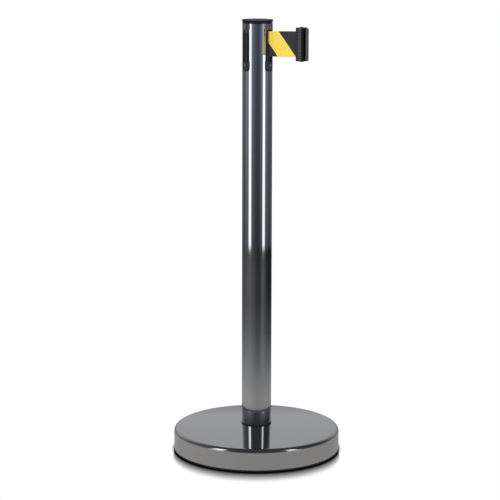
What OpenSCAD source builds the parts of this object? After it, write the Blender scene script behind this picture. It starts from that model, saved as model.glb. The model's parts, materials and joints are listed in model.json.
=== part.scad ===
// Retractable belt stanchion: weighted base, mirror tube post, three belt
// receivers, one belt outlet with a spring reel, and a belt with a clip that
// hooks into the next post. Millimetres, +Z up, origin on the floor under the
// centre of the post. The belt leaves along +X; the front is -Y.

/* [Post] */
// Overall height from the floor to the top of the cap
total_h = 920; // [880:1:1000]
// Outside diameter of the post tube
tube_d = 63; // [62.6:0.1:63.4]
// Wall thickness of the post tube
tube_wall = 1.2; // [1:0.05:1.25]
// Width of the four slots cut in the top of the tube
slot_w = 13.6; // [13.4:0.1:14]

/* [Base] */
// Outside diameter of the base cover
base_d = 354.6; // [300:0.2:400]
// Height of the rim of the base, where the top face starts
rim_h = 47.7; // [44:0.1:50]
// Rise of the top face from its rim to the post
dome_rise = 8.3; // [5:0.1:10]
// Radius of the rolled edge of the cover
edge_r = 8.8; // [6:0.1:10]
// Thickness of the stainless cover
cover_t = 1.2; // [0.8:0.1:2]
// Height of the rubber floor ring
ring_h = 3.2; // [2.5:0.1:5]
// Thickness of the cast weight
weight_h = 13; // [8:0.5:20]

/* [Belt] */
// Width of the belt webbing
belt_w = 52; // [48:1:52]
// Thickness of the belt webbing
belt_t = 0.55; // [0.4:0.05:0.6]
// Distance from the post axis to the near end of the clip
clip_x = 119.1; // [60:0.1:200]

/* [Clip] */
// Height of the clip
clip_h = 68; // [64:0.5:69]
// Width of the clip across the belt
clip_w = 19; // [17:0.5:19]
// Length of the clip body along the belt
clip_len = 15; // [14:0.1:17]
// Number of finger grooves on each side
grip_n = 11; // [5:1:14]

/* [Hidden] */
$fn = 96;

// Angles about the post axis
slot_angles = [0:90:270];
receiver_angles = [90:90:270];
frame_screw_angles = [45:90:315];

// Radii and half widths about the post axis
base_r = base_d / 2;
post_r = tube_d / 2;
bore_r = post_r - tube_wall;
slot_half = slot_w / 2;
core_r = 30.1;  // cassette
seat_r = 23.2;  // inner face of the inserts
coil_r = 20.6;  // wound belt
cut_end = 45;   // cuts in the inserts run out to here

// Heights
foot_z = rim_h + dome_rise;
tube_bottom = foot_z + 1.6;
tube_top = total_h - 7.2;
slot_low = total_h - 99;  // centre of the slots' round bottom
belt_z = total_h - 46.5;
belt_span = [belt_z - belt_w / 2, belt_z + belt_w / 2];

// ---- helpers: x, y and z spans are [low, high] pairs ----
module box(x, y, z) {
    translate([x[0], y[0], z[0]]) cube([x[1] - x[0], y[1] - y[0], z[1] - z[0]]);
}
module rod_x(r, x, y, z, sides = 48) {
    translate([x[0], y, z]) rotate([0, 90, 0]) cylinder(r = r, h = x[1] - x[0], $fn = sides);
}
module rod_y(r, x, y, z, sides = 32) {
    translate([x, y[0], z]) rotate([-90, 0, 0]) cylinder(r = r, h = y[1] - y[0], $fn = sides);
}
module rod_z(r, z, sides = 96) {
    translate([0, 0, z[0]]) cylinder(r = r, h = z[1] - z[0], $fn = sides);
}
module ring(outer_r, inner_r, z, sides = 96) {
    difference() {
        rod_z(outer_r, z, sides);
        rod_z(inner_r, [z[0] - 1, z[1] + 1], sides);
    }
}
// Copies of the children turned about the post axis
module turned(angles) {
    for (a = angles) rotate([0, 0, a]) children();
}
// U shape seen along X: straight sides, round bottom
module u_block(half_w, x, top) {
    box(x, [-half_w, half_w], [slot_low, top]);
    rod_x(half_w, x, 0, slot_low, 64);
}
// Pan head screw with a cross recess: head above z = 0, shank below
module pan_screw(head_r, head_h, shank_r, length) {
    recess = [-head_r * 0.6, head_r * 0.6];
    blade = [-0.4, 0.4];
    recess_z = [head_h * 0.4, head_h * 1.4];
    difference() {
        rotate_extrude($fn = 40) polygon([[0, -length], [shank_r * 0.5, -length],
            [shank_r, -length + shank_r], [shank_r, 0], [head_r, 0], [head_r, head_h * 0.45],
            [head_r * 0.78, head_h * 0.85], [head_r * 0.4, head_h], [0, head_h]]);
        box(recess, blade, recess_z);
        box(blade, recess, recess_z);
    }
}
function reversed(list) = [for (i = [len(list) - 1:-1:0]) list[i]];
// Section points given as [radius, depth below the top of the cap]
function from_top(points) = [for (p = points) [p[0], total_h - p[1]]];

// ---- base ----
bolt_r = 5.98;
bolt_hole_r = 6.5;
washer_bore_r = 6.2;
bolt_head_z = [7.2, 14.8];
lock_washer_z = [bolt_head_z[1], 17.2];
bolt_washer_z = [lock_washer_z[1], 20];
edge_sweep = 87;     // degrees of the rolled edge
edge_steps = 8;
dome_steps = 10;
dome_inner_r = 40;   // the dome's slope ends here
dome_curve = 0.35;   // share of the rise that is parabolic, the rest is straight

// The cover's section, from the floor ring to the dome, moved inwards by inset
function cover_section(inset) = concat(
    [[base_r - inset, ring_h]],
    [for (i = [0:edge_steps])
        let (a = i * edge_sweep / edge_steps, r = edge_r - inset)
        [base_r - edge_r + r * cos(a), rim_h - edge_r + r * sin(a)]],
    [for (i = [1:dome_steps])
        let (t = i / dome_steps,
            curved = 1 - (1 - t) * (1 - t),
            edge_x = base_r - edge_r)
        [edge_x - (edge_x - dome_inner_r) * t,
            rim_h - inset + dome_rise * (curved * dome_curve + t * (1 - dome_curve))]]);

module rubber_ring() {
    color("#1b1b1d") rotate_extrude($fn = 180) polygon([[base_r - 12, 0], [base_r - 0.6, 0],
        [base_r + 0.3, 0.8], [base_r + 0.3, ring_h - 0.4], [base_r - 0.1, ring_h],
        [base_r - 12, ring_h]]);
}
module base_weight() {
    side_r = base_r - cover_t - 1.5;
    top = ring_h + weight_h;
    hub_top = foot_z - cover_t - 0.15;
    color("#3a3a3c") difference() {
        rotate_extrude($fn = 180) polygon([[0, ring_h], [side_r - 1.5, ring_h],
            [side_r, ring_h + 1.5], [side_r, top - 3], [side_r - 3, top], [54, top],
            [48, top + 4], [43, foot_z - cover_t - 2], [41, hub_top], [0, hub_top]]);
        rod_z(bolt_hole_r, [-1, 79]);
        rod_z(24, [ring_h - 1, ring_h + 16.8]);
    }
}
module base_cover() {
    color("#c4c6c9") difference() {
        rotate_extrude($fn = 180) polygon(concat(cover_section(0),
            [[0, foot_z], [0, foot_z - cover_t]], reversed(cover_section(cover_t))));
        rod_z(bolt_hole_r, [0, 80]);
    }
}
module base_bolt() {
    color("#9a9da1") {
        rod_z(10.4, bolt_head_z, 6);
        rod_z(bolt_r, [14, tube_bottom + 15]);
    }
}
// Split ring
module lock_washer() {
    color("#8b8e92") difference() {
        ring(9.6, washer_bore_r, lock_washer_z);
        box([5, 11], [-0.6, 0.6], [14, 18]);
    }
}
module bolt_washer() {
    color("#a2a5a9") ring(18, washer_bore_r, bolt_washer_z);
}
module foot_gasket() {
    color("#19191b") ring(post_r + 0.7, 6.6, [foot_z, tube_bottom]);
}
module foot_plug() {
    color("#7c7f84") difference() {
        union() {
            rod_z(bore_r - 0.02, [tube_bottom, tube_bottom + 12]);
            rod_z(12, [tube_bottom + 11, tube_bottom + 18]);
        }
        rod_z(6.05, [tube_bottom - 1, tube_bottom + 29]);
    }
}

// ---- post ----
module post_tube() {
    color("#c9ccd0") difference() {
        rotate([0, 0, 180]) rotate_extrude($fn = 128) polygon([[bore_r, tube_bottom],
            [post_r - 0.5, tube_bottom], [post_r, tube_bottom + 0.5], [post_r, tube_top - 0.3],
            [post_r - 0.3, tube_top], [bore_r, tube_top]]);
        turned(slot_angles) u_block(slot_half, [20, 40], total_h + 5);
    }
}

// ---- screws and inserts: sizes shared with the cassette ----
insert_low = total_h - 107;
insert_top = total_h - 7.4;
insert_half = 12.1;              // half width inside the tube
nose_half = slot_half - 0.3;     // half width in the slot
room_half = insert_half + 0.2;
screw_high = total_h - 12.2;
screw_low = total_h - 92.9;
receiver_screw_y = -1;           // the upper screw sits beside the T slot
pilot_r = 1.62;
screw_circle_r = 26.6;           // frame screws
frame_screw_seat = total_h - 9.9;

// ---- cassette inside the tube ----
axle_r = 3.98;
reel_bore_r = 4.06;
cup_r = seat_r - 0.2;

// Room for the four inserts, from z = low upwards
module insert_room(low) {
    turned(slot_angles) box([seat_r - 0.1, 40], [-room_half, room_half], [low, total_h]);
}
module cassette_frame() {
    room_low = insert_low - 0.3;
    color("#2a2b2e") difference() {
        union() {
            rod_z(core_r, [total_h - 114, total_h - 94]);
            rod_z(cup_r, [total_h - 96, total_h - 88]);
            ring(cup_r, 21.5, [total_h - 89, total_h - 77]);
            difference() {
                ring(core_r, seat_r - 0.6, [total_h - 110, total_h - 18]);
                insert_room(room_low);
            }
        }
        insert_room(room_low);
        rod_z(16.8, [total_h - 115, total_h - 92]);
        rod_z(4, [total_h - 115, total_h - 75]);
        // way for the belt from the reel to the outlet
        box([16, 31], [-2, room_half], [belt_span[0] - 1.5, belt_span[1] + 1.5]);
        turned(slot_angles) rod_x(pilot_r, [10, 30], 0, screw_low, 32);
        turned(frame_screw_angles) translate([screw_circle_r, 0, 0])
            rod_z(1.52, [total_h - 40, total_h - 10], 32);
    }
}
module cassette_top() {
    color("#2f3033") difference() {
        rod_z(core_r, [total_h - 17.8, total_h - 7.8]);
        insert_room(total_h - 30);
        rod_z(4.01, [total_h - 20, total_h]);
        rod_x(pilot_r, [12, 30], 0, screw_high, 32);
        turned(receiver_angles) rod_x(pilot_r, [12, 30], receiver_screw_y, screw_high, 32);
        turned(frame_screw_angles) translate([screw_circle_r, 0, 0]) {
            rod_z(1.6, [total_h - 20, total_h], 32);
            rod_z(2.9, [frame_screw_seat, frame_screw_seat + 5], 32);
        }
    }
}
module frame_screws() {
    color("#b9bcc0") turned(frame_screw_angles)
        translate([screw_circle_r, 0, frame_screw_seat])
            pan_screw(head_r = 2.7, head_h = 1.7, shank_r = 1.5, length = 16);
}
// Axle with a hole for the cap screw and a groove for its clip
module reel_axle() {
    color("#b4b7bb") difference() {
        rod_z(axle_r, [total_h - 95.5, total_h - 8.2]);
        rod_z(pilot_r, [total_h - 22, total_h - 2], 32);
        ring(6, 3, [total_h - 93.1, total_h - 92.1]);
    }
}
module axle_clip() {
    color("#84878b") difference() {
        ring(6.6, 3.05, [total_h - 93, total_h - 92.15]);
        box([0, 8], [-2, 2], [total_h - 95, total_h - 91]);
    }
}
module thrust_washer() {
    color("#c2a25a") ring(6.3, reel_bore_r, [total_h - 88, total_h - 87.4]);
}
module spring_cover() {
    color("#a7aaae") ring(21.45, 7.4, [total_h - 77.9, total_h - 77.1]);
}

// Flat clock spring, wound from the arbor out to the chamber wall
spring_steps = 90;
spring_step_angle = 20;
spring_inner_r = 7.2;
spring_growth = 13.9;
spring_t = 0.3;
function spiral(offset) = [for (i = [0:spring_steps])
    let (a = i * spring_step_angle,
        r = spring_inner_r + spring_growth * i / spring_steps + offset)
    [r * cos(a), r * sin(a)]];
module power_spring() {
    color("#6f7277") translate([0, 0, total_h - 86.6]) linear_extrude(height = 8.2)
        polygon(concat(spiral(0), reversed(spiral(spring_t))));
}
// Flanged reel above a slotted arbor
module belt_reel() {
    color("#dcdcd6") difference() {
        union() {
            rod_z(6.3, [total_h - 87.3, total_h - 75.3]);
            rotate_extrude($fn = 96) polygon(from_top([[reel_bore_r, 76.4], [21.6, 76.4],
                [21.9, 76.1], [21.9, 74.5], [21.6, 74.2], [9, 73.9], [9, 20.3], [21.6, 20],
                [21.9, 19.7], [21.9, 18.8], [21.6, 18.5], [reel_bore_r, 18.5]]));
        }
        rod_z(reel_bore_r, [total_h - 100, total_h]);
        box([5, 7], [-0.6, 0.6], [total_h - 88, total_h - 78]);
    }
}
module belt_coil() {
    color("#2b2b2e") ring(coil_r, 9.02, belt_span);
}

// ---- inserts in the four slots, each drawn facing +X ----
receiver_face = post_r + 4.5;
exit_face = post_r + 6.6;
window_z = [total_h - 85, total_h - 19];
bay_half = 5.3;
hook_y = 4.1;  // centre of the T slot
pin_r = 1.75;
wrap_r = pin_r + belt_t / 2 + 0.05;  // belt centre line round a guide pin
pin_x = post_r + 0.1;
pin_y = wrap_r;

module insert_shell(face) {
    intersection() {
        rod_z(bore_r - 0.15, [insert_low, insert_top]);
        box([seat_r, 31], [-insert_half, insert_half], [insert_low, insert_top]);
    }
    u_block(nose_half, [bore_r - 0.8 + tube_wall - 2 + 0.8 - tube_wall, face], insert_top);
}
module insert_screw_holes(upper_y) {
    rod_x(1.7, [20, cut_end], upper_y, screw_high, 32);
    rod_x(1.7, [20, cut_end], 0, screw_low, 32);
}
// Narrow slot through the face, wide channel behind it
module t_slot(z) {
    box([25, cut_end], [hook_y - 1.25, hook_y + 1.25], z);
    box([23.8, 28.3], [hook_y - 3.5, hook_y + 3.5], z);
}
// Belt receiver: a boss above and a boss below, a bay between them for the nose
// of a belt clip with a fence on one side, and a T slot that is open at the top
module receiver(angle) {
    color("#1d1d1f") rotate([0, 0, angle]) difference() {
        insert_shell(receiver_face);
        box([post_r + 1.2, cut_end], [-bay_half, 12], window_z);
        t_slot([window_z[0], total_h]);
        insert_screw_holes(receiver_screw_y);
    }
}
module receiver_front() {
    receiver(270);
}
module receiver_left() {
    receiver(180);
}
module receiver_rear() {
    receiver(90);
}
// Two upright pins, one on each side of the belt
module pin_pair(r) {
    for (side = [-1, 1]) translate([pin_x, side * pin_y, 0])
        rod_z(r, [window_z[0] - 3, window_z[1] + 3], 48);
}
module belt_exit_guide() {
    color("#1d1d1f") difference() {
        insert_shell(exit_face);
        // the -Y cheek is low, the +Y cheek stays high
        box([post_r + 1.9, cut_end], [-12, bay_half], window_z);
        // belt window, flared on the inside
        translate([0, 0, window_z[0]]) linear_extrude(height = window_z[1] - window_z[0])
            polygon([[seat_r - 1, -7], [seat_r - 1, 10.2], [28.5, bay_half],
                [cut_end, bay_half], [cut_end, -bay_half], [28.5, -bay_half]]);
        pin_pair(pin_r + 0.02);
        insert_screw_holes(0);
    }
}
module guide_pins() {
    color("#b8bbbf") pin_pair(pin_r);
}
// Upper and lower screw of one insert
module screw_pair(face, upper_y, length) {
    for (place = [[upper_y, screw_high], [0, screw_low]])
        translate([face, place[0], place[1]]) rotate([0, 90, 0])
            pan_screw(head_r = 2.9, head_h = 1.4, shank_r = 1.6, length = length);
}
module insert_screws() {
    color("#c8cacd") {
        screw_pair(exit_face, 0, 18);
        turned(receiver_angles) screw_pair(receiver_face, receiver_screw_y, 16.5);
    }
}

// ---- cap ----
cap_screw_seat = total_h - 2.6;
module top_cap() {
    color("#151517") difference() {
        rotate_extrude($fn = 128) polygon(from_top([[0, 5.2], [8, 5.2], [8, 3.4], [28.6, 3.4],
            [28.6, 7.1], [post_r - 0.15, 7.1], [post_r - 0.15, 3.1], [post_r + 1, 2.9],
            [post_r + 1, 0.9], [post_r + 0.75, 0.25], [post_r + 0.1, 0], [post_r - 3, 0],
            [post_r - 3.6, 0.5], [0, 0.5]]));
        rod_z(1.8, [total_h - 8, total_h + 2], 32);
        rod_z(3.8, [cap_screw_seat, cap_screw_seat + 5], 48);
        // openings over the three T slots
        turned(receiver_angles) t_slot([total_h - 8, total_h + 1]);
    }
}
module cap_screw() {
    color("#c8cacd") translate([0, 0, cap_screw_seat])
        pan_screw(head_r = 3.4, head_h = 1.8, shank_r = 1.6, length = 15);
}

// ---- belt ----
anchor_x = clip_x + 6.6;  // pin that holds the belt's end loop
wound_r = coil_r + 0.1 + belt_t / 2;
// Angle at which the belt leaves the coil, on the tangent that crosses to the pin
leave_angle = atan2(pin_y, pin_x) + acos((wound_r + wrap_r) / norm([pin_x, pin_y]));
// Centre line: off the coil, round the +Y guide pin, straight to the clip.
// Columns: x, y, and the x and y of the unit normal
belt_path = concat(
    [for (i = [8:-1:0])
        let (a = leave_angle + i * 6)
        [wound_r * cos(a), wound_r * sin(a), cos(a), sin(a)]],
    [for (i = [0:5])
        let (a = leave_angle + 180 + (90 - leave_angle) * i / 5)
        [pin_x + wrap_r * cos(a), pin_y + wrap_r * sin(a), -cos(a), -sin(a)]],
    [[anchor_x - 2.3, 0, 0, 1]]);
function belt_side(offset) =
    [for (p = belt_path) [p[0] + p[2] * offset, p[1] + p[3] * offset]];

module belt_strip() {
    color("#f2c531") {
        translate([0, 0, belt_span[0]]) linear_extrude(height = belt_w)
            polygon(concat(belt_side(belt_t / 2), reversed(belt_side(-belt_t / 2))));
        translate([anchor_x, 0, 0]) ring(2.65, 2.1, belt_span, 48);
    }
}

// ---- belt clip: two halves that meet at y = 0 ----
clip_z = total_h - 44.6;
clip_end = clip_x + clip_len;
clip_span = [clip_z - clip_h / 2, clip_z + clip_h / 2];
joint_y = -0.02;
neck_half = 1;
bead_half = 3.1;
bead_x = clip_end + 6.2;
bead_t = 3.2;
grip_span = 58;        // from the lowest groove to the highest
grip_half = 1.3;
clip_screw_x = clip_end - 3;
clip_screw_zs = [clip_z - 27, clip_z + 27];
clip_screw_seat = 7.4;

// The -Y half: body, neck and bead of the T, tapered ends, finger grooves
module clip_half() {
    hook_z = [clip_span[0] + 1.6, clip_span[1] - 1.6];
    difference() {
        union() {
            box([clip_x, clip_end], [-clip_w / 2, joint_y], clip_span);
            box([clip_end - 0.5, bead_x + 0.5], [-neck_half, joint_y], hook_z);
            box([bead_x, bead_x + bead_t], [-bead_half, joint_y], hook_z);
            intersection() {
                for (m = [0, 1]) translate([0, 0, clip_z]) mirror([0, 0, m])
                    translate([clip_x + clip_len / 2, 0, clip_h / 2 - 0.01])
                        cylinder(r1 = 6.6, r2 = 2.4, h = 1.5, $fn = 48);
                box([clip_x, clip_end], [-clip_w, joint_y], [clip_z - 60, clip_z + 60]);
            }
        }
        for (i = [0:grip_n - 1]) {
            z = clip_z - grip_span / 2 + i * grip_span / (grip_n - 1);
            box([clip_x + 1, clip_end - 3.4], [-clip_w / 2 - 1, -clip_w / 2 + 0.6],
                [z - grip_half, z + grip_half]);
        }
        // room for the belt, its sewn loop and the anchor pin
        room_z = [belt_span[0] - 0.5, belt_span[1] + 3.2];
        box([clip_x - 1, anchor_x], [-0.5, 1], room_z);
        translate([anchor_x, 0, 0]) {
            rod_z(3, room_z, 48);
            rod_z(2.02, [belt_span[0] - 4, belt_span[1] + 5], 48);
        }
    }
}
module belt_end_front() {
    color("#232325") difference() {
        clip_half();
        for (z = clip_screw_zs) rod_y(1.27, clip_screw_x, [-7.5, 1], z);
    }
}
module belt_end_rear() {
    color("#232325") difference() {
        mirror([0, 1, 0]) clip_half();
        for (z = clip_screw_zs) {
            rod_y(1.4, clip_screw_x, [-1, 20], z);
            rod_y(2.6, clip_screw_x, [clip_screw_seat, 20], z);
        }
    }
}
module belt_pin() {
    color("#b9bcc0") translate([anchor_x, 0, 0])
        rod_z(1.98, [belt_span[0] - 3.9, belt_span[1] + 3.9], 48);
}
module belt_end_screws() {
    color("#b9bcc0") for (z = clip_screw_zs)
        translate([clip_screw_x, clip_screw_seat, z]) rotate([0, 90, 90])
            pan_screw(head_r = 2.4, head_h = 1.4, shank_r = 1.25, length = 14);
}

rubber_ring();
base_weight();
base_cover();
base_bolt();
bolt_washer();
lock_washer();
foot_gasket();
foot_plug();
post_tube();
cassette_frame();
cassette_top();
frame_screws();
reel_axle();
axle_clip();
thrust_washer();
spring_cover();
power_spring();
belt_reel();
belt_coil();
receiver_front();
receiver_left();
receiver_rear();
belt_exit_guide();
guide_pins();
insert_screws();
top_cap();
cap_screw();
belt_strip();
belt_end_front();
belt_end_rear();
belt_pin();
belt_end_screws();
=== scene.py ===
# A belt barrier post: a chrome tube on a round base, with striped webbing that is wound on a
# reel inside the post and pulled out to a clip. Metres, +Z up. The post's axis is Z, the
# base is at the bottom and the webbing runs out along +X.
import json
import math
from functools import partialmethod

import bmesh
import bpy
from mathutils import Matrix, Vector


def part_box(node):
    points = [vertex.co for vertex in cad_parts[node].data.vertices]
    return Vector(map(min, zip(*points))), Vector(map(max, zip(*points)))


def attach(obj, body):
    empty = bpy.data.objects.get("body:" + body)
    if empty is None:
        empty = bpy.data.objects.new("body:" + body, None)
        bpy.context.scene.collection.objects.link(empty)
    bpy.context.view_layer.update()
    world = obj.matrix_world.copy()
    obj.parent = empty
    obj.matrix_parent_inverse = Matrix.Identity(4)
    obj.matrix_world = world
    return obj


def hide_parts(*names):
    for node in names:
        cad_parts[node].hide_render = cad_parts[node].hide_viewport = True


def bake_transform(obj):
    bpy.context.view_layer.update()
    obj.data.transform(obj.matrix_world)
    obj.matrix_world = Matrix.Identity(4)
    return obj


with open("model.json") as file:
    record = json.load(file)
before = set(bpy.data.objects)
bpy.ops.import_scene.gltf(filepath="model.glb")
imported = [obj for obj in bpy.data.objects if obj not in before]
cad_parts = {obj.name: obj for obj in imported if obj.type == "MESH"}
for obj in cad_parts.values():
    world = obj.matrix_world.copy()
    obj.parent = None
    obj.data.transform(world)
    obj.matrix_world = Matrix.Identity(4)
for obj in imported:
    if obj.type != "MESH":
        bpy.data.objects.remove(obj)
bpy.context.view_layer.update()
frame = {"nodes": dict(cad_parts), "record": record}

SCENE = bpy.context.scene
SCENE.view_settings.view_transform = "Standard"
SCENE.view_settings.look = "None"

# The viewer stands 45 degrees round from -Y towards +X.
VIEW_ANGLE = math.radians(45)
TO_VIEWER = Vector((math.sin(VIEW_ANGLE), -math.cos(VIEW_ANGLE), 0))
RIGHT = Vector((math.cos(VIEW_ANGLE), math.sin(VIEW_ANGLE), 0))    # the viewer's right

HEADROOM = 4.0    # ramps of tones above 1 hold tone / HEADROOM and are scaled up afterwards


# ------------------------------------------------------------------ colours and node trees
def triple(value):
    """A number as three equal ones; a triple as it is."""
    return (value,) * 3 if isinstance(value, (int, float)) else value


def scaled(colour, factor):
    return tuple(min(1.0, c * f) for c, f in zip(triple(colour), triple(factor)))


def all_round(stops, factor=1.0):
    """Turn (degrees from the viewer, + to the right; tone) into ramp stops for -180 to 180."""
    return [((angle / 180 + 1) / 2, scaled(tone, factor)) for angle, tone in stops]


class Tree:
    """Short calls for building a node tree. Inputs may be sockets or plain values."""

    def __init__(self, owner, coordinates="Object"):
        owner.use_nodes = True
        self.tree = owner.node_tree
        self.tree.nodes.clear()
        self.coords = self.node("ShaderNodeTexCoord").outputs[coordinates]

    def node(self, kind, inputs=None, **properties):
        node = self.tree.nodes.new(kind)
        for key, value in properties.items():
            setattr(node, key, value)
        self.fill(node, inputs or {})
        return node

    def fill(self, node, inputs):
        for key, value in inputs.items():
            if isinstance(value, bpy.types.NodeSocket):
                self.tree.links.new(value, node.inputs[key])
            else:
                node.inputs[key].default_value = value

    def math(self, operation, *values, clamp=False):
        return self.node("ShaderNodeMath", dict(enumerate(values)),
                         operation=operation, use_clamp=clamp).outputs[0]

    add = partialmethod(math, "ADD")
    subtract = partialmethod(math, "SUBTRACT")
    multiply = partialmethod(math, "MULTIPLY")
    divide = partialmethod(math, "DIVIDE")
    multiply_add = partialmethod(math, "MULTIPLY_ADD")

    def excess(self, value, above, gain, clamp=False):
        return self.multiply(self.subtract(value, above, clamp=clamp), gain)

    def fraction(self, value, start, span):
        """0 up to start, rising to 1 over span."""
        return self.divide(self.subtract(value, start), span, clamp=True)

    def along(self, x, y, direction):
        return self.add(self.multiply(x, direction.x), self.multiply(y, direction.y))

    def radius(self, x, y):
        return self.math("SQRT", self.add(self.multiply(x, x), self.multiply(y, y)))

    def split(self, vector):
        return list(self.node("ShaderNodeSeparateXYZ", {0: vector}).outputs)

    def grey(self, value):
        return self.node("ShaderNodeCombineXYZ", {i: value for i in range(3)}).outputs[0]

    def vector(self, operation, *vectors):
        return self.node("ShaderNodeVectorMath", dict(enumerate(vectors)),
                         operation=operation).outputs

    def scale(self, vector, factor):
        return self.node("ShaderNodeVectorMath", {0: vector, "Scale": factor},
                         operation="SCALE").outputs[0]

    def mix(self, share, first, second, blend="MIX"):
        inputs = {0: share}
        for key, value in ((6, first), (7, second)):
            is_socket = isinstance(value, bpy.types.NodeSocket)
            inputs[key] = value if is_socket else (*triple(value), 1.0)
        return self.node("ShaderNodeMix", inputs, data_type="RGBA", blend_type=blend).outputs[2]

    def times(self, first, second):
        return self.mix(1.0, first, second, blend="MULTIPLY")

    def ramp(self, value, stops):
        node = self.node("ShaderNodeValToRGB", {0: value})
        elements = node.color_ramp.elements
        while len(elements) > 1:
            elements.remove(elements[-1])
        elements[0].position = stops[0][0]
        elements[0].color = (*triple(stops[0][1]), 1.0)
        for position, colour in stops[1:]:
            elements.new(position).color = (*triple(colour), 1.0)
        return node.outputs[0]

    def noise(self, scale, detail, roughness, vector=None):
        return self.node("ShaderNodeTexNoise", {
            "Vector": vector or self.coords, "Scale": scale,
            "Detail": detail, "Roughness": roughness}).outputs["Fac"]

    def stretched(self, z_scale):
        """Object coordinates with Z scaled, to draw a texture out along the axis."""
        return self.node("ShaderNodeMapping", {
            "Vector": self.coords, "Scale": (1, 1, z_scale)}).outputs[0]

    def bump(self, height, strength, distance, normal=None):
        node = self.node("ShaderNodeBump", {
            "Strength": strength, "Distance": distance, "Height": height})
        if normal is not None:
            self.fill(node, {"Normal": normal})
        return node.outputs[0]

    def by_ray(self, rays, mirror, matt, camera):
        """One colour for mirror reflections, one for matt surfaces and one for the camera."""
        unseen = self.mix(rays["Is Diffuse Ray"], mirror, matt)
        return self.mix(rays["Is Camera Ray"], unseen, camera)


# ------------------------------------------------------------------ materials
MATERIALS = {}


def surface(slot):
    """A new material for a slot, as its tree and its Principled shader."""
    material = bpy.data.materials.new("m_" + slot)
    MATERIALS[slot] = material
    tree = Tree(material)
    output = tree.node("ShaderNodeOutputMaterial")
    shader = tree.node("ShaderNodeBsdfPrincipled")
    tree.fill(output, {0: shader.outputs[0]})
    return tree, shader


def round_normal(t, x, y):
    """The exact normal of the round outside, so that the facets don't show."""
    min_alignment, min_radius = .985, .0312    # leaves out the edges and the inside
    flat = t.node("ShaderNodeCombineXYZ", {0: x, 1: y}).outputs[0]
    length = t.vector("LENGTH", flat)["Value"]
    outward = t.vector("NORMALIZE", flat)[0]
    facet = t.node("ShaderNodeNewGeometry").outputs["Normal"]
    alignment = t.vector("DOT_PRODUCT", outward, facet)["Value"]
    is_outside = t.multiply(t.math("GREATER_THAN", alignment, min_alignment),
                            t.math("GREATER_THAN", length, min_radius))
    return t.node("ShaderNodeMix", {0: is_outside, 4: facet, 5: outward},
                  data_type="VECTOR").outputs[1]


def chrome(slot, base, roughness, tube):
    """Chrome with polishing lines: along the axis on a tube, in circles on the base."""
    t, shader = surface(slot)
    x, y, z = t.split(t.coords)
    if tube:
        normal = round_normal(t, x, y)
        lines = t.noise(scale=2600, detail=2, roughness=.6, vector=t.stretched(z_scale=.02))
    else:
        normal = None
        circles = t.node("ShaderNodeCombineXYZ", {0: t.radius(x, y), 2: t.multiply(z, 1.0)})
        lines = t.noise(scale=2400, detail=2, roughness=.6, vector=circles.outputs[0])
    smudge = t.noise(scale=9, detail=4, roughness=.62)
    spots = t.noise(scale=60, detail=3, roughness=.6)
    rough = t.add(t.excess(smudge, above=.45, gain=.10, clamp=True), roughness)
    rough = t.add(rough, t.excess(spots, above=.55, gain=.05, clamp=True))
    lines_roughness = .012
    rough = t.add(rough, t.multiply(lines, lines_roughness))
    dulled = .96
    fine_bump = t.bump(lines, strength=.012, distance=.00002, normal=normal)
    t.fill(shader, {
        "Roughness": rough,
        "Base Color": t.mix(smudge, base, scaled(base, dulled)),
        "Metallic": 1.0,
        "Normal": t.bump(smudge, strength=.02, distance=.0004, normal=fine_bump)})


def plastic(slot, base, roughness, grain=.25, specular=.5, edge=0, painted_light_bands=None, axis=0):
    """Moulded plastic. grain is the bump strength and edge the radius of rounded edges.
    painted_light_bands are (mm along the axis, tone) of painted light and shade: a low tone is
    painted shade for a recess, with less shine; a high tone is painted light."""
    t, shader = surface(slot)
    fine = t.noise(scale=2600, detail=3, roughness=.6)
    coarse = t.noise(scale=700, detail=3, roughness=.55)
    cloud = t.noise(scale=45, detail=4, roughness=.6)
    dark, light = .82, 1.22
    colour = t.mix(cloud, scaled(base, dark), scaled(base, light))
    # painted light and shade along the axis: the tone lightens or darkens the colour and the
    # shine
    if painted_light_bands:
        start = painted_light_bands[0][0]
        span = painted_light_bands[-1][0] - start
        place = t.multiply(t.split(t.coords)[axis], 1000.0)
        tone = t.ramp(t.fraction(place, start, span),
                      [((mm - start) / span, value / HEADROOM) for mm, value in painted_light_bands])
        colour = t.times(colour, t.scale(tone, HEADROOM))
        specular = t.multiply(tone, HEADROOM * specular, clamp=True)
    rough = t.add(t.excess(cloud, above=.5, gain=.12), roughness)
    rough = t.add(rough, t.excess(coarse, above=.5, gain=.10))
    fine_share = .5
    height = t.add(t.multiply(fine, fine_share), coarse)
    soft = None
    if edge:
        soft = t.node("ShaderNodeBevel", {"Radius": edge}, samples=6).outputs[0]
    t.fill(shader, {
        "Base Color": colour,
        "Specular IOR Level": specular,
        "Roughness": rough,
        "Normal": t.bump(height, strength=grain, distance=.00006, normal=soft)})


def metal(slot, base, roughness, scale=900, z_scale=1):
    """Brushed metal; a z_scale below 1 draws the brushing out along Z."""
    t, shader = surface(slot)
    brushing = t.noise(scale=scale, detail=3, roughness=.6, vector=t.stretched(z_scale))
    cloud = t.noise(scale=80, detail=4, roughness=.6)
    dark, brushing_roughness = .75, .18
    t.fill(shader, {
        "Base Color": t.mix(cloud, scaled(base, dark), base),
        "Metallic": 1.0,
        "Roughness": t.add(t.multiply(brushing, brushing_roughness), roughness),
        "Normal": t.bump(brushing, strength=.15, distance=.00004)})


def cast_iron(slot, base):
    t, shader = surface(slot)
    grain = t.noise(scale=900, detail=6, roughness=.7)
    cloud = t.noise(scale=30, detail=5, roughness=.6)
    dark, light = .7, 1.4
    grain_roughness, least_roughness = .3, .55
    cloud_height = .6
    height = t.add(grain, t.multiply(cloud, cloud_height))
    t.fill(shader, {
        "Base Color": t.mix(cloud, scaled(base, dark), scaled(base, light)),
        "Metallic": .3,
        "Roughness": t.add(t.multiply(grain, grain_roughness), least_roughness),
        "Normal": t.bump(height, strength=.6, distance=.0004)})


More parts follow.
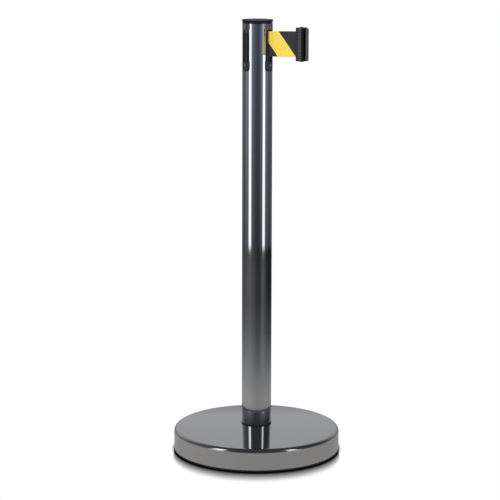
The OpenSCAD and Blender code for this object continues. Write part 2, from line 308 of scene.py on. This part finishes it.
def rubber(slot, base):
    t, shader = surface(slot)
    grain = t.noise(scale=1500, detail=4, roughness=.65)
    cloud = t.noise(scale=50, detail=3, roughness=.6)
    dark, light = .7, 1.5
    cloud_roughness, least_roughness = .18, .55
    t.fill(shader, {
        "Base Color": t.mix(cloud, scaled(base, dark), scaled(base, light)),
        "Roughness": t.add(t.multiply(cloud, cloud_roughness), least_roughness),
        "Specular IOR Level": .3,
        "Normal": t.bump(grain, strength=.35, distance=.00008)})


def webbing(slot):
    """Twill polyester webbing with printed yellow and black bands at 45 degrees."""
    yellow, black = (.975, .71, .105), (.034, .034, .039)
    yellow_edge, black_edge = (.99, .84, .32), (.055, .045, .012)
    band_start, band_pair = .9064, .1068    # x + z where a yellow band starts; both bands
    half_yellow = .25                       # share of a pair
    warp_pitch, weft_pitch, weft_slant = .00115, .00090, .0023
    t, shader = surface(slot)
    x, _, z = t.split(t.coords)

    # printed bands with slightly ragged edges
    wobble = t.excess(t.noise(scale=900, detail=2, roughness=.6), above=.5, gain=.0011)
    place = t.add(t.add(x, z), wobble)
    phase = t.math("FRACT", t.divide(t.subtract(place, band_start), band_pair))
    off_middle = t.math("ABSOLUTE", t.subtract(phase, half_yellow))
    sharpness, edge_falloff = 160.0, 30.0
    is_yellow = t.multiply_add(t.subtract(half_yellow, off_middle), sharpness, .5, clamp=True)
    to_edge = t.math("ABSOLUTE", t.subtract(half_yellow, off_middle))
    near_edge = t.subtract(1.0, t.multiply(to_edge, edge_falloff), clamp=True)

    # warp ribs along the belt, crossed by the weft at a slant
    turn = 2 * math.pi
    warp = t.math("SINE", t.multiply(z, turn / warp_pitch))
    weft = t.math("SINE", t.add(t.multiply(x, turn / weft_pitch),
                                t.multiply(z, turn / weft_slant)))
    weave = t.multiply(t.add(t.multiply(warp, weft), 1.0), .5)
    fuzz = t.noise(scale=3800, detail=3, roughness=.6)
    cloud = t.noise(scale=38, detail=4, roughness=.6)

    # each colour is clouded and changes towards the band's edge
    yellow_dark, yellow_light, yellow_edge_share = (.95, .93, .85), (1.03, 1.04, 1.12), .30
    black_dark, black_light, black_edge_share = .85, 1.2, .5
    yellows = t.mix(cloud, scaled(yellow, yellow_dark), scaled(yellow, yellow_light))
    yellows = t.mix(t.multiply(near_edge, yellow_edge_share), yellows, yellow_edge)
    blacks = t.mix(cloud, scaled(black, black_dark), scaled(black, black_light))
    blacks = t.mix(t.multiply(near_edge, black_edge_share), blacks, black_edge)
    # painted shade in the weave's hollows darkens the colour
    weave_contrast, weave_floor = .16, .87
    painted_shade = t.multiply_add(weave, weave_contrast, weave_floor)
    fuzz_height = .5
    height = t.add(weave, t.multiply(fuzz, fuzz_height))
    t.fill(shader, {
        "Base Color": t.times(t.mix(is_yellow, blacks, yellows), t.grey(painted_shade)),
        "Roughness": .72,
        "Specular IOR Level": .25,
        "Sheen Weight": .12,
        "Sheen Roughness": .45,
        "Normal": t.bump(height, strength=.55, distance=.00012)})


# (mm, tone) up the post's black parts, and along the clip: painted light and shade. Up the post
# the top, above 897 mm, is painted lighter.
HEAD_PAINTED_LIGHT = [(800, 1.0), (893, 1.0), (897, 2.9), (930, 2.9)]
# along the clip: painted highlights on the shoulder (125.5 to 132.5 mm) and the end (from 141.4
# mm), painted shade in the neck slot (tone .02)
CLIP_PAINTED_LIGHT_AND_SHADE = [(100, 1.0), (124.5, .95), (125.5, 1.9), (132.5, 1.9), (133.6, 1.6),
              (134.4, .02), (139.2, .02), (140.2, 1.0), (141.4, 2.4), (150, 2.4)]

chrome("post_chrome", (.60, .61, .64), roughness=.028, tube=True)
chrome("base_chrome", (.62, .63, .65), roughness=.035, tube=False)
plastic("black_plastic", (.024, .024, .026), roughness=.34, edge=.0005,
        painted_light_bands=HEAD_PAINTED_LIGHT, axis=2)
plastic("clip_plastic", (.027, .027, .029), roughness=.38, edge=.0008, painted_light_bands=CLIP_PAINTED_LIGHT_AND_SHADE)
plastic("cap_plastic", (.012, .012, .015), roughness=.36, grain=.15, specular=.3, edge=.0004)
plastic("frame_plastic", (.03, .03, .032), roughness=.5)
plastic("reel_plastic", (.68, .68, .64), roughness=.42)
metal("screw_steel", (.74, .75, .77), roughness=.20)
metal("zinc_steel", (.60, .61, .63), roughness=.26, z_scale=.3)
metal("raw_steel", (.32, .33, .35), roughness=.38, scale=700)
metal("spring_steel", (.22, .23, .26), roughness=.28, z_scale=.2)
metal("brass", (.66, .48, .20), roughness=.28)
cast_iron("cast_iron", (.05, .05, .052))
rubber("black_rubber", (.012, .012, .013))
webbing("webbing")

slot_of = {part["node"]: part["material_slot"] for part in frame["record"]["subparts"]}
for node_name, cad_piece in frame["nodes"].items():
    for material_slot in cad_piece.material_slots:
        material_slot.material = MATERIALS[slot_of[node_name]]


# ------------------------------------------------------------------ mesh helpers
def bridge(bm, ring, following):
    """Join two closed rings of vertices with quads."""
    for j in range(len(ring)):
        k = (j + 1) % len(ring)
        bm.faces.new((ring[j], following[j], following[k], ring[k]))


def new_object(name, bm, slot):
    mesh = bpy.data.meshes.new(name)
    bmesh.ops.recalc_face_normals(bm, faces=bm.faces)
    bm.to_mesh(mesh)
    bm.free()
    for face in mesh.polygons:
        face.use_smooth = True
    obj = bpy.data.objects.new(name, mesh)
    SCENE.collection.objects.link(obj)
    mesh.materials.append(MATERIALS[slot])
    return obj


def lathe(name, outline, slot, segments=512):
    """Turn a closed outline of (radius, height) points round Z."""
    bm = bmesh.new()
    rings = []
    for i in range(segments):
        angle = 2 * math.pi * i / segments
        rings.append([bm.verts.new((r * math.cos(angle), r * math.sin(angle), z))
                      for r, z in outline])
    for i in range(segments):
        bridge(bm, rings[i], rings[(i + 1) % segments])
    return new_object(name, bm, slot)


def split_edges(obj, degrees):
    modifier = obj.modifiers.new("edges", "EDGE_SPLIT")
    modifier.split_angle = math.radians(degrees)


# ------------------------------------------------------------------ base cover
def base_cover():
    """A spun shell: upright wall, round shoulder, low crown and a flat seat in the middle."""
    low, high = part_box("base_cover")
    radius = .5 * (high[0] - low[0])
    bottom, top = low[2], high[2]
    shoulder_top, shoulder = .0477, .0088    # height and radius of the rounded shoulder
    sheet = .0012
    seat, hole = .040, .0068                 # radii
    crown_rise = top - shoulder_top
    bulge = .35                              # the rest of the crown's rise is straight
    shoulder_in = radius - shoulder
    wall_top = shoulder_top - shoulder

    def outline(inset):
        points = [(radius - inset, bottom + (i / 24) * (wall_top - bottom)) for i in range(25)]
        for i in range(1, 41):
            angle = math.radians(87 * i / 40)
            points.append((shoulder_in + (shoulder - inset) * math.cos(angle),
                           wall_top + (shoulder - inset) * math.sin(angle)))
        for i in range(1, 49):
            q = i / 48
            rise = crown_rise * ((1 - (1 - q) ** 2) * bulge + q * (1 - bulge))
            points.append((shoulder_in - (shoulder_in - seat) * q, shoulder_top - inset + rise))
        for i in range(1, 9):
            points.append((seat - (seat - hole) * i / 8, top - inset))
        return points

    cover = lathe("base_cover_spun", outline(0.0) + outline(sheet)[::-1], "base_chrome")
    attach(cover, "stand")
    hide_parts("base_cover")
    cover.data.shade_smooth()    # also clears the mesh's flat-face attribute
    split_edges(cover, 50)


# ------------------------------------------------------------------ webbing
STRAP = .00055         # thickness
GUIDE_X = .0316        # the pin at the outlet that the strap bends round
GUIDE_RADIUS = .00175
WOUND_RADIUS = .0206   # the outside of the wound webbing


def arc_point(centre_x, centre_y, radius, degrees, side=1):
    """A point (x, y) on an arc with its normal; side -1 turns the normal to the centre."""
    cos, sin = math.cos(math.radians(degrees)), math.sin(math.radians(degrees))
    return centre_x + radius * cos, centre_y + radius * sin, side * cos, side * sin


def strap_path(end_x):
    """The strap's centre line from the coil, round the pin and straight out along +X:
    (x, y, normal x, normal y)."""
    coil_bend = WOUND_RADIUS + .0001 + STRAP / 2
    pin_bend = GUIDE_RADIUS + STRAP / 2 + .00005
    pin_y = pin_bend                         # this puts the straight run at y = 0
    # the strap leaves the coil on the tangent that crosses over to the pin's other side
    leave = (math.degrees(math.atan2(pin_y, GUIDE_X))
             + math.degrees(math.acos((coil_bend + pin_bend) / math.hypot(GUIDE_X, pin_y))))
    path = [arc_point(0, 0, coil_bend, leave + i * 3) for i in range(16, -1, -1)]
    coil_end = path[-1]
    pin_arc = [arc_point(GUIDE_X, pin_y, pin_bend, leave + 180 + (90 - leave) * i / 8, side=-1)
               for i in range(9)]
    for i in range(1, 6):
        path.append(tuple(a + (b - a) * i / 6 for a, b in zip(coil_end, pin_arc[0])))
    path += pin_arc
    for i in range(1, 121):
        path.append((GUIDE_X + (end_x - GUIDE_X) * i / 120, 0.0, 0.0, 1.0))
    return path


def half_thickness(v):
    """v runs from -1 to 1 across the strap: thicker selvedges, thinned at the very edge."""
    selvedge = max(0.0, (abs(v) - .93) / .07)
    rim = max(0.0, (abs(v) - .985) / .015)
    return STRAP / 2 * (1 + .22 * math.sin(selvedge * math.pi)) * math.sqrt(1 - .8 * rim ** 2)


def belt():
    """The strap from the coil to the clip, with the loop sewn round the clip's pin."""
    low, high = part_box("belt_strip")
    middle_z, half_width = .5 * (low[2] + high[2]), .5 * (high[2] - low[2])
    anchor_x = high[0] - .00265              # the clip's pin
    end_x = anchor_x - .0023
    rise = .0044                             # from outlet to clip, half of it below the middle
    cup, long_wave, short_wave = .0003, .00010, .00006
    across = 40
    bm = bmesh.new()
    rings = []
    for k, (x, y, normal_x, normal_y) in enumerate(strap_path(end_x)):
        share = min(1, max(0, (x - GUIDE_X) / (end_x - GUIDE_X)))
        front, back = [], []
        for j in range(across + 1):
            v = j / across * 2 - 1
            thick = half_thickness(v)
            wave = math.sin(math.pi * share) * (
                cup * (1 - v * v) + long_wave * math.sin(k * .31 + v * 2.0)
                + short_wave * math.sin(k * .83))
            z = middle_z + v * half_width + (share - .5) * rise
            for side, off in ((front, wave + thick), (back, wave - thick)):
                side.append(bm.verts.new((x + normal_x * off, y + normal_y * off, z)))
        rings.append(front + back[::-1])
    for ring, following in zip(rings, rings[1:]):
        bridge(bm, ring, following)
    bm.faces.new(rings[0])
    bm.faces.new(rings[-1])

    # the sewn loop, open towards the strap
    loop_radius, loop_half = .00238, .00027  # centre line; half thickness
    loop_z = middle_z + rise / 2
    previous = None
    for i in range(49):
        x, y, out_x, out_y = arc_point(anchor_x, 0, loop_radius, -170 + 340 * i / 48)
        ring = [bm.verts.new((x + side * out_x * loop_half, y + side * out_y * loop_half,
                              loop_z + end * half_width))
                for side, end in ((1, -1), (1, 1), (-1, 1), (-1, -1))]
        if previous:
            bridge(bm, previous, ring)
        previous = ring
    strap = new_object("belt_webbing", bm, "webbing")
    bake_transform(strap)
    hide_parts("belt_strip")


def coil():
    """The webbing wound on the reel, turn on turn."""
    low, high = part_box("belt_coil")
    half_width, middle_z = .5 * (high[2] - low[2]), .5 * (high[2] + low[2])
    inner, thick, pitch = .00905, .00050, .00060
    turns = (high[0] - thick - inner) / pitch
    steps = int(turns * 40)
    start = math.radians(47) - 2 * math.pi * turns    # so that the outer end is at 47 degrees
    bm = bmesh.new()
    previous = None
    for i in range(steps + 1):
        angle = 2 * math.pi * turns * i / steps
        r = inner + pitch * angle / (2 * math.pi)
        cos, sin = math.cos(angle + start), math.sin(angle + start)
        outline = ((r, -1), (r + thick, -1), (r + thick, 0), (r + thick, 1), (r, 1), (r, 0))
        ring = [bm.verts.new((radius * cos, radius * sin, middle_z + end * half_width))
                for radius, end in outline]
        if previous:
            bridge(bm, previous, ring)
        else:
            bm.faces.new(ring)
        previous = ring
    bm.faces.new(previous[::-1])
    wound = new_object("wound_webbing", bm, "webbing")
    split_edges(wound, 40)
    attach(wound, "reel")
    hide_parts("belt_coil")


# ------------------------------------------------------------------ floor
BASE_EDGE = .1772      # radius that the painted shadow starts from
SHADOW_LENGTH = .072
CONTACT_WIDTH = .006
# painted shadow on the floor in front of the base: (share of the shadow's length, brightness)
PAINTED_SHADOW = [(0, .002), (.13, .003), (.18, .02), (.22, .08), (.26, .13), (.35, .20), (.44, .30),
          (.54, .42), (.65, .56), (.75, .70), (.85, .84), (.93, .94), (1, 1.0)]
# painted contact shade all round the base: (share of CONTACT_WIDTH, brightness)
PAINTED_CONTACT_SHADE = [(0, .10), (.5, .55), (1, 1.0)]
# what mirror surfaces see of the floor, with painted light: (share of FLOOR_REACH from the
# middle, colour)
FLOOR_REACH = 2.5
MIRRORED_FLOOR_PAINTED_LIGHT = [(0, (.35, .335, .315)), (.13, (.355, .34, .32)), (.19, (.325, .315, .305)),
            (.25, .255), (.31, .19), (.37, .14), (.46, .085), (.60, .050), (.94, .036),
            (1, .036)]
# painted light round the floor: tone (see all_round) for the inner, middle and outer zones; the
# peaks near -55 and 50 degrees are painted lamp light
INNER = [(-180, 1.0), (-65, 1.10), (-20, 1.0), (0, .96), (60, .98), (180, 1.0)]
MIDDLE = [(-180, 1.1), (-110, 1.35), (-60, 1.3), (0, 1.0), (60, 1.08), (110, 1.1), (180, 1.1)]
OUTER = [(-180, 2.0), (-110, 2.3), (-55, 3.3), (-22, 2.0), (0, 1.0), (22, 1.0), (50, 3.2),
         (72, 1.2), (100, .45), (130, .6), (180, 1.5)]
# painted shadow near the base, for rays that come from further off than LONG_RAY
LONG_RAY = .27
LONG_RAY_PAINTED_SHADOW = [(0, .15), (.50, .22), (.61, .85), (.67, 1.0)]


def seen_floor(t, toward, sideways, radius):
    """White, with the base's disc smeared towards the viewer as a soft painted shadow."""
    chord = t.subtract(BASE_EDGE * BASE_EDGE, t.multiply(sideways, sideways))
    half_chord = t.math("SQRT", t.math("MAXIMUM", chord, 0.0))
    past_base = t.subtract(toward, half_chord)
    inside = t.math("LESS_THAN", t.math("ABSOLUTE", sideways), BASE_EDGE)
    share = t.divide(t.math("MAXIMUM", past_base, 0.0), SHADOW_LENGTH, clamp=True)
    painted_shadow = t.ramp(share, PAINTED_SHADOW)
    front_limit = -.02
    in_front = t.multiply(inside, t.math("GREATER_THAN", toward, front_limit))
    # a thin line of painted contact shade runs all round
    painted_contact_line = t.ramp(t.fraction(radius, BASE_EDGE, CONTACT_WIDTH), PAINTED_CONTACT_SHADE)
    brightness = 1.0
    return t.scale(t.times(t.mix(in_front, 1, painted_shadow), painted_contact_line), brightness)


def mirrored_floor(t, toward, sideways, radius, rays):
    """A grey studio floor with painted light: lighter near the base, darker further off."""
    colour = t.ramp(t.divide(radius, FLOOR_REACH, clamp=True), MIRRORED_FLOOR_PAINTED_LIGHT)
    around = t.multiply_add(t.math("ARCTAN2", sideways, toward), .5 / math.pi, .5)
    middle, outer, inner = (t.ramp(around, all_round(zone, 1 / HEADROOM))
                            for zone in (MIDDLE, OUTER, INNER))
    tone = t.mix(t.fraction(radius, start=.6, span=1.2), middle, outer)
    tone = t.mix(t.fraction(radius, start=.32, span=.12), inner, tone)
    colour = t.times(colour, tone)
    painted_shade = t.ramp(t.fraction(radius, start=.30, span=.10), LONG_RAY_PAINTED_SHADOW)
    is_long = t.math("GREATER_THAN", rays["Ray Length"], LONG_RAY)
    return t.scale(t.mix(is_long, colour, t.times(colour, painted_shade)), HEADROOM)


def floor_material():
    material = bpy.data.materials.new("m_floor")
    material.cycles.emission_sampling = "NONE"
    t = Tree(material)
    x, y, _ = t.split(t.coords)
    toward, sideways = t.along(x, y, TO_VIEWER), t.along(x, y, RIGHT)
    radius = t.radius(x, y)
    rays = t.node("ShaderNodeLightPath").outputs
    matt_near, matt_far, matt_reach = .55, .7, 1.5
    # the floor glows with its colour: white with painted shadow for the viewer, painted light
    # in mirrors
    colour = t.by_ray(
        rays,
        mirror=mirrored_floor(t, toward, sideways, radius, rays),
        matt=t.mix(t.divide(radius, matt_reach, clamp=True), matt_near, matt_far),
        camera=seen_floor(t, toward, sideways, radius))
    glow = t.node("ShaderNodeEmission", {"Color": colour})
    clear = t.node("ShaderNodeBsdfTransparent")
    # the far edge fades into the surroundings
    faded = t.node("ShaderNodeMixShader", {0: t.fraction(radius, start=2.30, span=.14),
                                           1: glow.outputs[0], 2: clear.outputs[0]})
    t.node("ShaderNodeOutputMaterial", {0: faded.outputs[0]})
    return material


def floor():
    mesh = bpy.data.meshes.new("floor_mesh")
    bm = bmesh.new()
    bmesh.ops.create_circle(bm, cap_ends=True, segments=128, radius=2.45)
    bm.to_mesh(mesh)
    bm.free()
    disc = bpy.data.objects.new("floor", mesh)
    SCENE.collection.objects.link(disc)
    mesh.materials.append(floor_material())


# ------------------------------------------------------------------ studio
# Elevations are shares of 90 degrees. Tones round the walls, see all_round.
WALL_TINT = (.92, 1.0, 1.2)
WALLS = [(-180, .20), (-140, .15), (-115, .125), (-90, .23), (-70, .25), (-35, .20),
         (-22, .12), (-6, .076), (8, .068), (20, .092), (35, .20), (78, .20), (95, .125),
         (115, .10), (140, .16), (180, .20)]
UPPER_WALLS = [(-180, .455), (-155, .41), (-130, .26), (-108, .10), (-60, .095), (-28, .06),
               (0, .052), (30, .062), (58, .085), (80, .045), (112, .05), (132, .22),
               (155, .40), (180, .455)]
CEILING = (.045, .045, .05)
# lamps: centre, half width and soft edge in degrees; lowest and highest elevation; power
LAMPS = [(-56.5, 8, 5, -.142, .073, 1.5), (53, 7.5, 5, -.147, .078, 1.5),
         (-55.5, 7, 4, .165, .5, 1.5), (52, 4.5, 4, .165, .5, 1.2)]


def lamp(t, azimuth, elevation, centre, half, soft, lowest, highest, power):
    """A tall strip light with soft edges."""
    off = t.math("ABSOLUTE", t.subtract(azimuth, centre / 180))
    across = t.divide(t.subtract((half + soft) / 180, off), soft / 180, clamp=True)
    above = t.fraction(elevation, lowest, span=.02)
    top_fade = .05
    below = t.divide(t.subtract(highest, elevation), top_fade, clamp=True)
    return t.multiply(t.multiply(t.multiply(across, above), below), power)


def studio():
    world = bpy.data.worlds.new("studio")
    SCENE.world = world
    world.cycles.sampling_method = "NONE"
    t = Tree(world, "Generated")
    x, y, z = t.split(t.coords)
    toward, sideways = t.along(x, y, TO_VIEWER), t.along(x, y, RIGHT)
    # 0 at the viewer, 1 or -1 behind the post, + on the right
    azimuth = t.divide(t.math("ARCTAN2", sideways, toward), math.pi)
    elevation = t.divide(t.math("ARCSINE", z), math.pi / 2)
    around = t.multiply_add(azimuth, .5, .5)

    # the walls darken towards the floor, within limits
    slope, level, darkest, lightest = 8.3, 1.6, .5, 1.2
    walls = t.ramp(around, all_round(WALLS, WALL_TINT))
    fall = t.math("MAXIMUM", t.multiply_add(elevation, slope, level), darkest)
    walls = t.times(walls, t.grey(t.math("MINIMUM", fall, lightest)))
    upper = t.ramp(around, all_round(UPPER_WALLS))
    room = t.mix(t.fraction(elevation, start=.03, span=.09), walls, upper)
    room = t.mix(t.fraction(elevation, start=.46, span=.24), room, CEILING)

    light = None
    for values in LAMPS:
        strip = lamp(t, azimuth, elevation, *values)
        light = strip if light is None else t.add(light, strip)

    # matt surfaces get a wide soft dome, stronger from above and from the viewer's side
    height_gain, base_level, front_gain, dome_power = .35, .80, .25, 1.27
    behind = t.multiply_add(t.math("COSINE", t.multiply(azimuth, math.pi)), -.5, .5)
    side = t.multiply(t.subtract(1.0, behind), front_gain)
    dome = t.add(t.multiply_add(elevation, height_gain, base_level), side)
    dome = t.multiply(dome, dome_power)
    colour = t.by_ray(t.node("ShaderNodeLightPath").outputs,
                      mirror=t.mix(1.0, room, t.grey(light), blend="ADD"),
                      matt=t.grey(dome), camera=1)
    background = t.node("ShaderNodeBackground", {"Color": colour})
    t.node("ShaderNodeOutputWorld", {0: background.outputs[0]})


# ------------------------------------------------------------------ camera
def from_view(v):
    """From the viewer's axes (right, away, up) to the world's."""
    return RIGHT * v.x - TO_VIEWER * v.y + Vector((0, 0, v.z))


def camera():
    offset, distance, height = .0000427, 3.83934, 1.16157
    pitch, yaw, roll = .187310, .0038178, .0019553    # radians: down, left, right side raised
    data = bpy.data.cameras.new("camera")
    obj = bpy.data.objects.new("camera", data)
    SCENE.collection.objects.link(obj)
    SCENE.camera = obj
    data.sensor_width = 36.0
    data.sensor_fit = "HORIZONTAL"
    data.lens = 132.71544
    data.clip_start, data.clip_end = .05, 100
    cos, sin = math.cos(yaw), math.sin(yaw)
    cos_pitch, sin_pitch = math.cos(pitch), math.sin(pitch)
    level = Vector((cos, sin, 0))
    forward = Vector((-sin * cos_pitch, cos * cos_pitch, -sin_pitch))
    upright = Vector((-sin * sin_pitch, cos * sin_pitch, cos_pitch))
    right = math.cos(roll) * level + math.sin(roll) * upright
    up = math.cos(roll) * upright - math.sin(roll) * level
    axes = Matrix((from_view(right), from_view(up), -from_view(forward)))
    matrix = axes.transposed().to_4x4()
    matrix.translation = from_view(Vector((offset, -distance, height)))
    obj.matrix_world = matrix


base_cover()
belt()
coil()
floor()
studio()
camera()
